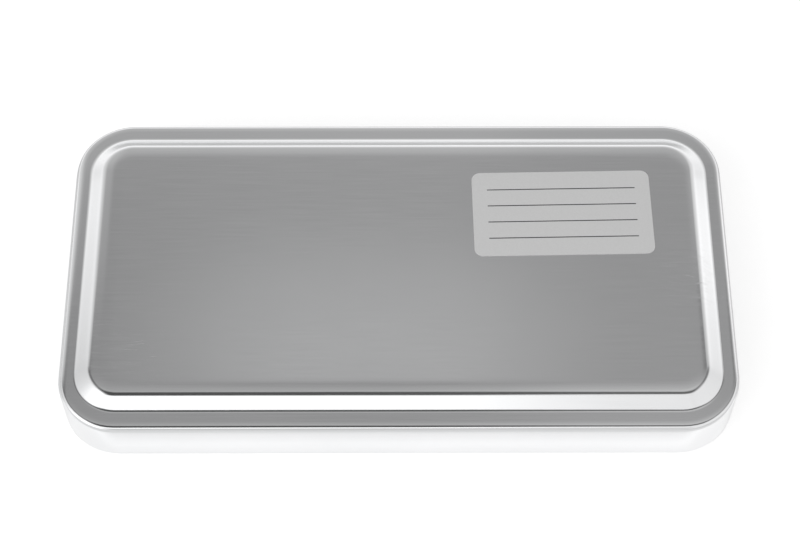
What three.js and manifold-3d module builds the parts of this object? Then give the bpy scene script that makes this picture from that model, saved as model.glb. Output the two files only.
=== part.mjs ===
// Instrument sterilization box: a shallow stainless steel tray with a rolled rim, a deep-drawn lid that
// drops over it, and a lift-out rack whose two silicone combs hold seven dental instruments side by side.
// Two wire bails with silicone sleeves swing down over the instruments and keep them in their notches.
// Units are millimetres. The origin is at the middle of the plane that the box stands on, +Z is up,
// the instruments lie along X, and the front of the box faces -Y.
import * as THREE from "three";
import { mergeVertices } from "three/addons/utils/BufferGeometryUtils.js";
import Module from "manifold-3d";

const wasm = await Module();
wasm.setup();

// Closed box, measured over the steel
const boxLength = 190;
const boxWidth = 100;
const boxHeight = 30;
const planCorner = 16.8;
const sheet = 0.8;

// Lid: a raised panel, a sloping step, a flat ledge and a skirt
const panelRise = 3.2;
const crownBend = 28;
const crownAngle = 6;
const stepHeadBend = 3.2;
const stepAngle = 35;
const stepFootBend = 1.5;
const ledgeFlat = 3.2;
const lidEdgeBend = 1.7;
const skirtDepth = 16;
const skirtDraft = 0.5;

// Tray, whose rolled rim stands inside the skirt
const lidFit = 0.5;
const seatGap = 0.3;
const curlBend = 0.6;
const curlTurn = 250;
const wallDraft = 1.5;
const floorBend = 5;
const standingRing = 4;
const floorRise = 1;
const floorStepBend = 0.6;
const floorStepAngle = 40;

// Rack plate, with its edge turned down on to the tray's floor
const rackFit = 0.3;
const drainGap = 1.2;
const rackEdgeBend = 1.6;
const slotLength = 8;
const slotWidth = 3.2;
const slotEndGap = 4;
const slotSideGap = 5;
const slotMargin = 3;

// Combs and the channels that carry them
const instruments = 7;
const combSpacing = 104;
const combThickness = 7;
const combFit = 0.3;
const combEnd = 2.2;
const notchWidth = 7;
const notchFlare = 0.8;
const notchLand = 0.6;
const leastTooth = 1.2;
const channelWall = 6;
const joinGap = 0.1;
const earMargin = 0.8;
const earRound = 3;
const lidHeadroom = 2.4;
const stopWidth = 2.4;

// Wire bails and their sleeves
const wireRadius = 1;
const wireFit = 0.3;
const wireBend = 2;
const bailReach = 20;
const stubLength = 1.5;
const sleeveWall = 1;
const sleeveFit = 0.3;
const sleeveEndGap = 0.8;
const sleeveEdge = 0.4;

// Lifting handles, one at each end of the rack
const handleWidth = 34;
const handleFoot = 9;
const handleMargin = 2;
const handleHeadroom = 6;
const handleCorner = 6;
const handleBend = 0.8;
const gripLength = 22;
const gripHeight = 7;
const gripRail = 3;
const handleRivetEdge = 7;

// Rivets, all alike
const rivetRadius = 1.2;
const rivetFit = 0.2;
const rivetHeadRadius = 2.3;
const rivetHeadHeight = 0.9;
const rivetTailRadius = 2;
const rivetTailHeight = 0.7;

// Paper label stuck to the lid, a little askew
const labelLength = 51.7;
const labelWidth = 27.9;
const labelThickness = 0.15;
const labelCorner = 2.5;
const labelEndGap = 8.3;
const labelBackGap = 5.5;
const labelTurn = 1;

// How finely round shapes are divided, and how far a cutting shape runs past what it cuts
const bendStep = 18;
const planSteps = 7;
const roundSteps = 3;
const slotSteps = 1;
const domeSteps = 3;
const wireSides = 8;
const wireBendSteps = 4;
const turnedSides = 12;
const overrun = 1;

const radians = THREE.MathUtils.degToRad;
const sin = (degrees) => Math.sin(radians(degrees));
const cos = (degrees) => Math.cos(radians(degrees));
const sides = [-1, 1];

// A closed geometry becomes a solid for joining and cutting, and comes back as a geometry.
function toSolid(geometry) {
  const bare = geometry.clone();
  bare.deleteAttribute("normal");
  bare.deleteAttribute("uv");
  const merged = mergeVertices(bare);
  return new wasm.Manifold(
    new wasm.Mesh({
      numProp: 3,
      vertProperties: merged.attributes.position.array,
      triVerts: new Uint32Array(merged.index.array),
    }),
  );
}

function toGeometry(solid) {
  const mesh = solid.getMesh();
  return closedGeometry(Array.from(mesh.vertProperties), Array.from(mesh.triVerts));
}

function closedGeometry(positions, indices) {
  const geometry = new THREE.BufferGeometry();
  geometry.setAttribute("position", new THREE.Float32BufferAttribute(positions, 3));
  geometry.setIndex(indices);
  geometry.computeVertexNormals();
  return geometry;
}

// A rectangle with rounded corners, centred on (x, y).
function roundedRectangle(length, width, corner, x = 0, y = 0) {
  const right = length / 2 - corner;
  const top = width / 2 - corner;
  const shape = new THREE.Shape();
  shape.absarc(x + right, y + top, corner, 0, Math.PI / 2);
  shape.absarc(x - right, y + top, corner, Math.PI / 2, Math.PI);
  shape.absarc(x - right, y - top, corner, Math.PI, 1.5 * Math.PI);
  shape.absarc(x + right, y - top, corner, 1.5 * Math.PI, 2 * Math.PI);
  shape.closePath();
  return shape;
}

// A plate of one or more shapes drawn in plan, standing on the level z.
function plate(shapes, z, thickness, curveSegments = roundSteps) {
  const geometry = new THREE.ExtrudeGeometry(shapes, { depth: thickness, bevelEnabled: false, curveSegments });
  return geometry.translate(0, 0, z);
}

// A shape drawn in the XZ plane, running from y to y + thickness.
function plateAcrossY(shape, y, thickness) {
  return plate(shape, 0, thickness).rotateX(Math.PI / 2).translate(0, y + thickness, 0);
}

// A shape drawn in the YZ plane, running from x to x + thickness.
function plateAcrossX(shape, x, thickness) {
  return plate(shape, 0, thickness).rotateY(Math.PI / 2).rotateX(Math.PI / 2).translate(x, 0, 0);
}

// An upright cylinder from z up to z + height.
function pillar(radius, x, y, z, height) {
  const cylinder = new THREE.CylinderGeometry(radius, radius, height, turnedSides);
  return toSolid(cylinder.rotateX(Math.PI / 2).translate(x, y, z + height / 2));
}

// Bent sheet is walked along one face as straight runs and bends. Each point keeps its heading,
// so that the other face can be set off from it by the sheet's thickness.
const run = (length) => ({ length });
const bend = (radius, turn) => ({ radius, turn });

// The point at a distance to the left of a point's heading.
function setOff(point, distance) {
  return {
    u: point.u - distance * sin(point.heading),
    z: point.z + distance * cos(point.heading),
    heading: point.heading,
  };
}

// The point at a distance straight ahead of a point.
function ahead(point, distance) {
  return {
    u: point.u + distance * cos(point.heading),
    z: point.z + distance * sin(point.heading),
    heading: point.heading,
  };
}

function walk(z, moves) {
  let point = { u: 0, z, heading: 0 };
  const points = [point];
  for (const move of moves) {
    if (move.turn === undefined) {
      point = ahead(point, move.length);
      points.push(point);
      continue;
    }
    const side = Math.sign(move.turn);
    const centre = setOff(point, side * move.radius);
    const steps = Math.ceil(Math.abs(move.turn) / bendStep);
    const start = point.heading;
    for (let k = 1; k <= steps; k++) {
      point = setOff({ ...centre, heading: start + (move.turn * k) / steps }, -side * move.radius);
      points.push(point);
    }
  }
  return points;
}

// Both faces of the sheet as one line: out along the upper face, round the cut edge, and back.
function sheetLine(path, drawnFace) {
  const above = drawnFace === "upper" ? 0 : sheet;
  const upper = path.map((point) => setOff(point, above));
  const lower = path.map((point) => setOff(point, above - sheet));
  const nose = ahead(setOff(path[path.length - 1], above - sheet / 2), sheet / 2);
  return [...upper, nose, ...lower.reverse()];
}

const reachOf = (line) => Math.max(...line.map((point) => point.u));

// A level outline of a pressed shell: the plan's rounded rectangle, drawn in by inset, at height z.
function planRing(length, width, corner, inset, z) {
  const r = Math.max(corner - inset, sheet);
  const right = length / 2 - inset - r;
  const back = width / 2 - inset - r;
  const ring = [];
  for (let quarter = 0; quarter < 4; quarter++) {
    const x = quarter === 0 || quarter === 3 ? right : -right;
    const y = quarter < 2 ? back : -back;
    for (let k = 0; k <= planSteps; k++) {
      const angle = (quarter + k / planSteps) * (Math.PI / 2);
      ring.push([x + r * Math.cos(angle), y + r * Math.sin(angle), z]);
    }
  }
  return ring;
}

// A shell pressed from one sheet: the sheet's line is carried round the plan, with the line's
// outermost point on the plan's edge, and the flat middle is closed on both faces.
function pressedShell(length, width, corner, line) {
  const reach = reachOf(line);
  const rings = line.map((point) => planRing(length, width, corner, reach - point.u, point.z));
  const count = rings[0].length;
  const indices = [];
  for (let k = 0; k + 1 < rings.length; k++) {
    for (let i = 0; i < count; i++) {
      const a = k * count + i;
      const b = k * count + ((i + 1) % count);
      indices.push(a, a + count, b + count, a, b + count, b);
    }
  }
  const last = (rings.length - 1) * count;
  for (let i = 1; i + 1 < count; i++) {
    indices.push(0, i, i + 1, last, last + i + 1, last + i);
  }
  return closedGeometry(rings.flat(2), indices);
}

// How far a bend of a radius rises or drops while it turns from one slope to another.
const bendDrop = (radius, from, to) => radius * (cos(from) - cos(to));

// Lid. The step's straight slope takes up what the bends leave of the rise.
const ledgeTop = boxHeight - panelRise;
const lidUnder = ledgeTop - sheet;
const crownDrop = bendDrop(crownBend, 0, crownAngle);
const headDrop = bendDrop(stepHeadBend, crownAngle, stepAngle);
const footDrop = bendDrop(stepFootBend, 0, stepAngle);
const skirtTurn = 90 - skirtDraft;
const skirtDrop = skirtDepth - sheet / 2 - bendDrop(lidEdgeBend, 0, skirtTurn);
const lidLine = sheetLine(
  walk(boxHeight, [
    bend(crownBend, -crownAngle),
    bend(stepHeadBend, crownAngle - stepAngle),
    run((panelRise - crownDrop - headDrop - footDrop) / sin(stepAngle)),
    bend(stepFootBend, stepAngle),
    run(ledgeFlat),
    bend(lidEdgeBend, -skirtTurn),
    run(skirtDrop / sin(skirtTurn)),
  ]),
  "upper",
);
const makeLid = () => pressedShell(boxLength, boxWidth, planCorner, lidLine);

// Tray. The rim's rolled bead clears the skirt all round and the ledge above it.
const beadRadius = curlBend + sheet;
const beadTop = lidUnder - seatGap;
const skirtFlare = (skirtDepth * cos(skirtTurn)) / sin(skirtTurn);
const rimInset = skirtFlare + sheet + lidFit;
const wallTurn = 90 - wallDraft;
const floorOuterBend = floorBend + sheet;
const wallHeight = beadTop - beadRadius + curlBend * cos(wallTurn) - bendDrop(floorOuterBend, 0, wallTurn);
const wallRun = wallHeight / sin(wallTurn);
const floorStepOuter = floorStepBend + sheet;
const floorStepDrop = bendDrop(floorStepBend + floorStepOuter, 0, floorStepAngle);
const trayLine = sheetLine(
  walk(floorRise, [
    bend(floorStepBend, -floorStepAngle),
    run((floorRise - floorStepDrop) / sin(floorStepAngle)),
    bend(floorStepOuter, floorStepAngle),
    run(standingRing),
    bend(floorOuterBend, wallTurn),
    run(wallRun),
    bend(curlBend, -curlTurn),
  ]),
  "lower",
);
const makeTray = () =>
  pressedShell(boxLength - 2 * rimInset, boxWidth - 2 * rimInset, planCorner - rimInset, trayLine);

// Rack plate. It fits inside the bend at the foot of the tray's wall.
const wallInset = beadRadius + curlBend * sin(wallTurn) + wallRun * cos(wallTurn);
const rackInset = rimInset + wallInset + floorOuterBend * sin(wallTurn) + rackFit;
const rackLength = boxLength - 2 * rackInset;
const rackWidth = boxWidth - 2 * rackInset;
const rackFoot = sheet + seatGap;
const rackUnder = floorRise + sheet + drainGap;
const rackTop = rackUnder + sheet;
const rackLine = sheetLine(
  walk(rackTop, [bend(rackEdgeBend, -90), run(rackTop - rackFoot - rackEdgeBend - sheet / 2)]),
  "upper",
);

// The parts of a comb station, which is drawn at x = 0 with the middle of the box towards -X.
const stationX = combSpacing / 2;
const channelInner = combThickness + 2 * combFit;
const channelOuter = channelInner + 2 * sheet;
const channelUnder = rackTop + joinGap;
const channelFloor = channelUnder + sheet;
const channelTop = channelUnder + channelWall;
const earOuter = rackWidth / 2 - earMargin;
const earInner = earOuter - sheet;
const pivotZ = lidUnder - lidHeadroom - earRound;
const sleeveBore = wireRadius + sleeveFit;
const sleeveRadius = sleeveBore + sleeveWall;
const armY = earOuter + wireFit + wireBend;

// The comb's row of notches
const combLength = 2 * (earInner - combFit);
const combUnder = channelFloor + joinGap;
const combTop = pivotZ - sleeveRadius;
const notchMouth = notchWidth + 2 * notchFlare;
const combRoom = combLength - 2 * combEnd;
const notchCount = Math.min(instruments, Math.floor((combRoom + leastTooth) / (notchMouth + leastTooth)));
const notchPitch = (combRoom - notchMouth) / (notchCount - 1);
const notchY = (k) => (k - (notchCount - 1) / 2) * notchPitch;

// Rivets stand under the second tooth from each end of a comb, and in the foot of each handle.
const rivetHole = rivetRadius + rivetFit;
const combRivetY = (notchY(notchCount - 1) + notchY(notchCount - 2)) / 2;
const handleOuter = rackLength / 2 - handleMargin;
const handleFootEnd = handleOuter - handleFoot;
const handleRivetX = (handleFootEnd + handleOuter - handleBend - sheet) / 2;
const handleRivetY = handleWidth / 2 - handleRivetEdge;
const handleTop = lidUnder - handleHeadroom;

// Drain slots fill the bays of the plate between, and outside, the comb channels.
function drainSlots() {
  const rowPitch = slotWidth + slotSideGap;
  const columnPitch = slotLength + slotEndGap;
  const rowRoom = rackWidth - 2 * (rackEdgeBend + slotMargin);
  const rows = Math.floor((rowRoom + slotSideGap) / rowPitch);
  const inner = stationX - channelOuter / 2;
  const outer = stationX + channelOuter / 2;
  const bays = [
    [-inner, inner],
    [outer, handleFootEnd],
    [-handleFootEnd, -outer],
  ];
  const slots = [];
  for (const [from, to] of bays) {
    const columns = Math.floor((to - from - 2 * slotMargin + slotEndGap) / columnPitch);
    for (let column = 0; column < columns; column++) {
      const x = (from + to) / 2 + (column - (columns - 1) / 2) * columnPitch;
      for (let row = 0; row < rows; row++) {
        const y = (row - (rows - 1) / 2) * rowPitch;
        slots.push(roundedRectangle(slotLength, slotWidth, slotWidth / 2, x, y));
      }
    }
  }
  return slots;
}

function makeRackPlate() {
  const shell = toSolid(pressedShell(rackLength, rackWidth, planCorner - rackInset, rackLine));
  const cutFrom = rackUnder - overrun;
  const cutDepth = sheet + 2 * overrun;
  let rack = shell.subtract(toSolid(plate(drainSlots(), cutFrom, cutDepth, slotSteps)));
  for (const sx of sides) {
    for (const sy of sides) {
      rack = rack.subtract(pillar(rivetHole, sx * stationX, sy * combRivetY, cutFrom, cutDepth));
      rack = rack.subtract(pillar(rivetHole, sx * handleRivetX, sy * handleRivetY, cutFrom, cutDepth));
    }
  }
  return toGeometry(rack);
}

// Comb channel: a U-section whose ends are folded up as ears for the bail's pivots. A lip folded
// out of each ear is the stop that the bail's arm rests on.
function makeChannel() {
  const halfOuter = channelOuter / 2;
  const halfInner = channelInner / 2;
  const section = new THREE.Shape();
  section.moveTo(-halfOuter, channelUnder);
  section.lineTo(halfOuter, channelUnder);
  section.lineTo(halfOuter, channelTop);
  section.lineTo(halfInner, channelTop);
  section.lineTo(halfInner, channelFloor);
  section.lineTo(-halfInner, channelFloor);
  section.lineTo(-halfInner, channelTop);
  section.lineTo(-halfOuter, channelTop);
  section.closePath();
  const ear = new THREE.Shape();
  ear.moveTo(-halfOuter, channelUnder);
  ear.lineTo(halfOuter, channelUnder);
  ear.lineTo(halfOuter, channelTop);
  ear.absarc(0, pivotZ, earRound, 0, Math.PI);
  ear.lineTo(-halfOuter, channelTop);
  ear.closePath();
  ear.holes.push(new THREE.Path().absarc(0, pivotZ, wireRadius + wireFit, 0, 2 * Math.PI));
  let channel = toSolid(plateAcrossY(section, -earOuter, 2 * earOuter));
  const stopTop = pivotZ - wireRadius - seatGap;
  const stopReach = armY + wireRadius - earInner;
  const stopX = -halfOuter + stopWidth / 2;
  for (const side of sides) {
    channel = channel.add(toSolid(plateAcrossY(ear, side > 0 ? earInner : -earOuter, sheet)));
    const stop = new THREE.BoxGeometry(stopWidth, stopReach, sheet);
    stop.translate(stopX, side * (earInner + stopReach / 2), stopTop - sheet / 2);
    channel = channel.add(toSolid(stop));
    const cutFrom = channelUnder - overrun;
    channel = channel.subtract(pillar(rivetHole, 0, side * combRivetY, cutFrom, sheet + 2 * overrun));
  }
  return toGeometry(channel);
}

// Comb: a moulded silicone strip with a flared, round-bottomed notch for each instrument, and a
// pocket underneath for each rivet head.
function makeComb() {
  const end = combLength / 2;
  const r = notchWidth / 2;
  const notchCentre = channelTop + notchLand + r;
  const shape = new THREE.Shape();
  shape.moveTo(-end, combUnder);
  shape.lineTo(end, combUnder);
  shape.lineTo(end, combTop);
  for (let k = notchCount - 1; k >= 0; k--) {
    shape.lineTo(notchY(k) + r + notchFlare, combTop);
    shape.lineTo(notchY(k) + r, combTop - notchFlare);
    shape.absarc(notchY(k), notchCentre, r, 0, -Math.PI, true);
    shape.lineTo(notchY(k) - r, combTop - notchFlare);
    shape.lineTo(notchY(k) - r - notchFlare, combTop);
  }
  shape.lineTo(-end, combTop);
  shape.closePath();
  let comb = toSolid(plateAcrossX(shape, -combThickness / 2, combThickness));
  const pocketDepth = rivetHeadHeight + seatGap;
  const pocketRadius = rivetHeadRadius + combFit;
  const cutFrom = combUnder - overrun;
  for (const side of sides) {
    comb = comb.subtract(pillar(pocketRadius, 0, side * combRivetY, cutFrom, pocketDepth + overrun));
  }
  return toGeometry(comb);
}

// Handle: a strip bent up from a riveted foot, with round top corners and a finger slot.
function makeHandle() {
  const outerBend = handleBend + sheet;
  const under = rackTop + joinGap;
  const path = walk(under, [
    run(handleFoot - outerBend),
    bend(outerBend, 90),
    run(handleTop - under - outerBend),
  ]);
  const inner = path.map((point) => setOff(point, sheet));
  const section = [...path, ...inner.reverse()];
  const shape = new THREE.Shape(section.map(({ u, z }) => new THREE.Vector2(handleFootEnd + u, z)));
  const strip = toSolid(plateAcrossY(shape, -handleWidth / 2, handleWidth));
  const height = 2 * (handleTop - under);
  const outline = roundedRectangle(handleWidth, height, handleCorner, 0, handleTop - height / 2);
  const gripZ = handleTop - gripRail - gripHeight / 2;
  outline.holes.push(roundedRectangle(gripLength, gripHeight, gripHeight / 2, 0, gripZ));
  const cutter = toSolid(plateAcrossX(outline, handleFootEnd - overrun, handleFoot + 2 * overrun));
  let handle = strip.intersect(cutter);
  for (const side of sides) {
    const hole = pillar(rivetHole, handleRivetX, side * handleRivetY, under - overrun, sheet + 2 * overrun);
    handle = handle.subtract(hole);
  }
  return toGeometry(handle);
}

// Rivet: a shank through two sheets, a domed head above them and a flatter tail below.
function makeRivet() {
  const headFace = channelFloor + joinGap;
  const tailFace = rackUnder - joinGap;
  const points = [];
  for (let k = 0; k <= domeSteps; k++) {
    const angle = (90 * k) / domeSteps;
    points.push(new THREE.Vector2(rivetTailRadius * sin(angle), tailFace - rivetTailHeight * cos(angle)));
  }
  points.push(new THREE.Vector2(rivetRadius, tailFace));
  points.push(new THREE.Vector2(rivetRadius, headFace));
  for (let k = domeSteps; k >= 0; k--) {
    const angle = (90 * k) / domeSteps;
    points.push(new THREE.Vector2(rivetHeadRadius * sin(angle), headFace + rivetHeadHeight * cos(angle)));
  }
  return new THREE.LatheGeometry(points, turnedSides).rotateX(Math.PI / 2);
}

// Bail: one wire that passes out through an ear, along its arm, across, and back in at the other ear.
// Each of its points carries a ring of the wire's section, square to the way there.
function makeBail() {
  const quarterBend = (x, y, from) => {
    const points = [];
    for (let k = 0; k <= wireBendSteps; k++) {
      const angle = from + (90 * k) / wireBendSteps;
      points.push({ x: x + wireBend * cos(angle), y: y + wireBend * sin(angle), heading: angle + 90 });
    }
    return points;
  };
  const bendY = armY - wireBend;
  const there = [
    { x: 0, y: earInner - stubLength, heading: 90 },
    ...quarterBend(-wireBend, bendY, 0),
    ...quarterBend(-bailReach + wireBend, bendY, 90),
  ];
  const back = there.map(({ x, y, heading }) => ({ x, y: -y, heading: 180 - heading })).reverse();
  const points = [...there, ...back];
  const positions = [];
  const indices = [];
  for (const { x, y, heading } of points) {
    for (let i = 0; i < wireSides; i++) {
      const angle = (i * 360) / wireSides;
      const out = wireRadius * cos(angle);
      positions.push(x + out * sin(heading), y - out * cos(heading), pivotZ + wireRadius * sin(angle));
    }
  }
  for (let k = 0; k + 1 < points.length; k++) {
    for (let i = 0; i < wireSides; i++) {
      const a = k * wireSides + i;
      const b = k * wireSides + ((i + 1) % wireSides);
      indices.push(a, a + wireSides, b + wireSides, a, b + wireSides, b);
    }
  }
  const last = (points.length - 1) * wireSides;
  for (let i = 1; i + 1 < wireSides; i++) {
    indices.push(0, i, i + 1, last, last + i + 1, last + i);
  }
  return closedGeometry(positions, indices);
}

// Sleeve: a silicone tube that turns loosely on the bail's cross wire.
function makeSleeve() {
  const half = armY - wireBend - sleeveEndGap;
  const points = [
    new THREE.Vector2(sleeveBore, -half),
    new THREE.Vector2(sleeveRadius - sleeveEdge, -half),
    new THREE.Vector2(sleeveRadius, -half + sleeveEdge),
    new THREE.Vector2(sleeveRadius, half - sleeveEdge),
    new THREE.Vector2(sleeveRadius - sleeveEdge, half),
    new THREE.Vector2(sleeveBore, half),
    new THREE.Vector2(sleeveBore, -half),
  ];
  return new THREE.LatheGeometry(points, turnedSides).translate(-bailReach, 0, pivotZ);
}

// Label. Its gaps are measured from the edge of the lid's flat panel.
function makeLabel() {
  const panelInset = reachOf(lidLine);
  const x = boxLength / 2 - panelInset - labelEndGap - labelLength / 2;
  const y = boxWidth / 2 - panelInset - labelBackGap - labelWidth / 2;
  const paper = plate(roundedRectangle(labelLength, labelWidth, labelCorner), 0, labelThickness);
  return paper.rotateZ(radians(labelTurn)).translate(x, y, boxHeight);
}

// Finishes
const brushedSteel = new THREE.MeshStandardMaterial({ color: 0xb4b5b6, roughness: 0.3, metalness: 1 });
const drawnSteel = new THREE.MeshStandardMaterial({ color: 0xbcbdbe, roughness: 0.25, metalness: 1 });
const springSteel = new THREE.MeshStandardMaterial({ color: 0xc6c7c8, roughness: 0.2, metalness: 1 });
const silicone = new THREE.MeshStandardMaterial({ color: 0x4d7fa6, roughness: 0.6, metalness: 0 });
const labelPaper = new THREE.MeshStandardMaterial({ color: 0xd6d6d4, roughness: 0.55, metalness: 0 });

// Assembly
function piece(name, geometry, material, x = 0, y = 0) {
  const mesh = new THREE.Mesh(geometry, material);
  mesh.name = name;
  mesh.position.set(x, y, 0);
  return mesh;
}

const box = new THREE.Group();
box.add(piece("base_tray", makeTray(), drawnSteel));

const cover = new THREE.Group();
cover.add(piece("lid", makeLid(), drawnSteel));
cover.add(piece("lid_label", makeLabel(), labelPaper));
box.add(cover);

const rack = new THREE.Group();
rack.add(piece("rack_plate", makeRackPlate(), brushedSteel));
const channel = makeChannel();
const comb = makeComb();
const handle = makeHandle();
const bail = makeBail();
const sleeve = makeSleeve();
const rivet = makeRivet();
const ends = [
  { name: "right", turn: 0 },
  { name: "left", turn: Math.PI },
];
for (const { name, turn } of ends) {
  const end = new THREE.Group();
  end.rotation.z = turn;
  end.add(piece(name + "_comb_channel", channel, brushedSteel, stationX));
  end.add(piece(name + "_comb", comb, silicone, stationX));
  end.add(piece(name + "_handle", handle, brushedSteel));
  end.add(piece(name + "_bail", bail, springSteel, stationX));
  end.add(piece(name + "_bail_sleeve", sleeve, silicone, stationX));
  for (const side of sides) {
    const place = side * Math.cos(turn) < 0 ? "front" : "rear";
    end.add(piece(`${name}_channel_${place}_rivet`, rivet, springSteel, stationX, side * combRivetY));
    end.add(piece(`${name}_handle_${place}_rivet`, rivet, springSteel, handleRivetX, side * handleRivetY));
  }
  rack.add(end);
}
box.add(rack);

export default box;
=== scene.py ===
"""Instrument sterilization box of satin stainless steel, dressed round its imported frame.

The sections follow the box as it is put together: camera, studio, tray, rack plate, comb channels,
rivets, combs, handles, bails, sleeves, lid and label. Lengths are in millimetres until a mesh is
made. The right end of the rack is drawn, and turned half round about the middle for the left end.
"""
import math

import bmesh
import bpy
import numpy as np
from mathutils import Matrix, Vector


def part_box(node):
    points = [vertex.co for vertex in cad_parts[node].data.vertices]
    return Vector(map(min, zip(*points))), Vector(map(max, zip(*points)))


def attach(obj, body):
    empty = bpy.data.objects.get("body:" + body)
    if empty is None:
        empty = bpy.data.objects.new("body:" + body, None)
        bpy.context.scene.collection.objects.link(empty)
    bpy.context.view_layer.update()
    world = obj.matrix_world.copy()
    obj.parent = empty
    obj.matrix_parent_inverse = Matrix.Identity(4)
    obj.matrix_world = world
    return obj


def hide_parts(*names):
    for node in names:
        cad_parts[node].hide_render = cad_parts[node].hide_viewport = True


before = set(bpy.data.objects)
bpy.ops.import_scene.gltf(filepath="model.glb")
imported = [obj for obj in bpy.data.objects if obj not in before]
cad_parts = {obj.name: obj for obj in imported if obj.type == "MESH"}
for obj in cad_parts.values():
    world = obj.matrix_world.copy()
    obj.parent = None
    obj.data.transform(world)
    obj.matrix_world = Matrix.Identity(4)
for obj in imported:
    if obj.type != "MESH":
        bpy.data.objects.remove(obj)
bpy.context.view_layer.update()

MM = 0.001


# Camera
# It stands in front of the box and looks down at about 61 degrees, through a lens of 88 mm on a
# sensor 36 mm wide, as the photograph was taken.
CAMERA_PLACE = (-1.4, -273.3, 518.3)
CAMERA_PAN, CAMERA_TILT, CAMERA_ROLL = -0.00664, 0.50946, 0.00429
LENS, SENSOR = 88.45, 36

camera = bpy.data.objects.new("camera", bpy.data.cameras.new("camera"))
camera.data.lens = LENS
camera.data.sensor_width = SENSOR
camera.matrix_world = (Matrix.Translation(Vector(CAMERA_PLACE) * MM)
                       @ Matrix.Rotation(CAMERA_PAN, 4, "Z")
                       @ Matrix.Rotation(CAMERA_TILT, 4, "X")
                       @ Matrix.Rotation(CAMERA_ROLL, 4, "Z"))
bpy.context.scene.collection.objects.link(camera)
bpy.context.scene.camera = camera
bpy.context.scene.view_settings.view_transform = "Standard"


# Studio
# A white paper floor and a tent of light round the box: white cloth low down, a grey ceiling, and
# a dark gap over the front where the camera stands. Steel shows little but what stands round it.
def add(tree, kind, inputs=None, **settings):
    """Adds a node. Settings are its properties, and inputs are its sockets' values or links."""
    node = tree.nodes.new(kind)
    for name, value in settings.items():
        setattr(node, name, value)
    for name, value in (inputs or {}).items():
        if isinstance(value, bpy.types.NodeSocket):
            tree.links.new(value, node.inputs[name])
        else:
            node.inputs[name].default_value = value
    return node


def linear(colour):
    """An sRGB hex colour as linear RGBA: the sRGB curve is undone for each of its three bytes."""
    share = np.array([colour >> 16 & 255, colour >> 8 & 255, colour & 255]) / 255
    value = np.where(share <= 0.04045, share / 12.92, ((share + 0.055) / 1.055) ** 2.4)
    return (*value.tolist(), 1.0)


def tones(tree, value, stops):
    """A grey that follows a value through stops of {value: grey}, straight between them."""
    places = np.array(list(stops))
    low, high = places.min(), places.max()
    share = add(tree, "ShaderNodeMapRange", {"Value": value, 1: low, 2: high})
    node = add(tree, "ShaderNodeValToRGB", {"Fac": share.outputs[0]})
    node.color_ramp.interpolation = "LINEAR"
    while len(node.color_ramp.elements) < len(stops):
        node.color_ramp.elements.new(1)
    for element, (place, grey) in zip(node.color_ramp.elements, sorted(stops.items())):
        element.position = (place - low) / (high - low)
        element.color = (grey, grey, grey, 1)
    return node.outputs["Color"]


# Tones of the tent by lean in degrees, from the back horizon at -90 over the top at 0 to the front
# horizon at 90, in three strips that stand over the left, the middle and the right of the box.
TENT_LEFT = {-180: 0.6, -92: 1.15, -84: 1.1, -76: 1.0, -66: 0.74, -58: 0.56, -50: 0.51, -43: 0.49,
             -37: 0.43, -32: 0.31, -28: 0.30, -24: 0.31, -17: 0.38, -8: 0.46, 3: 0.40, 6: 0.08, 33: 0.08,
             39: 1.30, 52: 1.30, 58: 0.60, 90: 0.85, 180: 0.6}
TENT_MIDDLE = {-180: 0.6, -92: 1.15, -84: 1.1, -76: 1.0, -66: 0.74, -58: 0.58, -50: 0.54, -43: 0.52,
               -37: 0.46, -33: 0.35, -30.5: 0.34, -27: 0.54, -24.5: 0.41, -22.6: 0.35, -21: 0.31,
               -17: 0.40, -8: 0.48, 2: 0.42, 5: 0.10, 33: 0.10, 39: 1.30, 52: 1.30, 58: 0.55,
               90: 0.80, 180: 0.6}
TENT_RIGHT = {-180: 0.6, -92: 1.15, -84: 1.1, -76: 1.0, -66: 0.72, -58: 0.56, -50: 0.51, -43: 0.48,
              -37: 0.42, -32: 0.32, -28: 0.345, -24: 0.345, -17: 0.46, -8: 0.60, 6: 0.50, 10: 0.14,
              26: 0.14, 32: 0.93, 53: 0.93, 59: 0.70, 90: 0.80, 180: 0.6}

world = bpy.data.worlds.new("light_tent")
bpy.context.scene.world = world
world.use_nodes = True
tent = world.node_tree
tent.nodes.clear()
towards = add(tent, "ShaderNodeTexCoord").outputs["Generated"]
axes = add(tent, "ShaderNodeSeparateXYZ", {"Vector": towards})
across, back, up = axes.outputs["X"], axes.outputs["Y"], axes.outputs["Z"]
ahead = add(tent, "ShaderNodeMath", {0: back, 1: -1.0}, operation="MULTIPLY")
lean = add(tent, "ShaderNodeMath", {0: ahead.outputs[0], 1: up}, operation="ARCTAN2")
lean = add(tent, "ShaderNodeMath", {0: lean.outputs[0]}, operation="DEGREES").outputs[0]
left_share = tones(tent, across, {-0.30: 1, -0.15: 1, -0.06: 0, 0.0: 0})
right_share = tones(tent, across, {0.0: 0, 0.03: 0, 0.11: 1, 0.30: 1})
strips = add(tent, "ShaderNodeMix", {0: left_share, 2: tones(tent, lean, TENT_MIDDLE),
                                     3: tones(tent, lean, TENT_LEFT)}, data_type="FLOAT")
strips = add(tent, "ShaderNodeMix", {0: right_share, 2: strips.outputs[0],
                                     3: tones(tent, lean, TENT_RIGHT)}, data_type="FLOAT")

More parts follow.
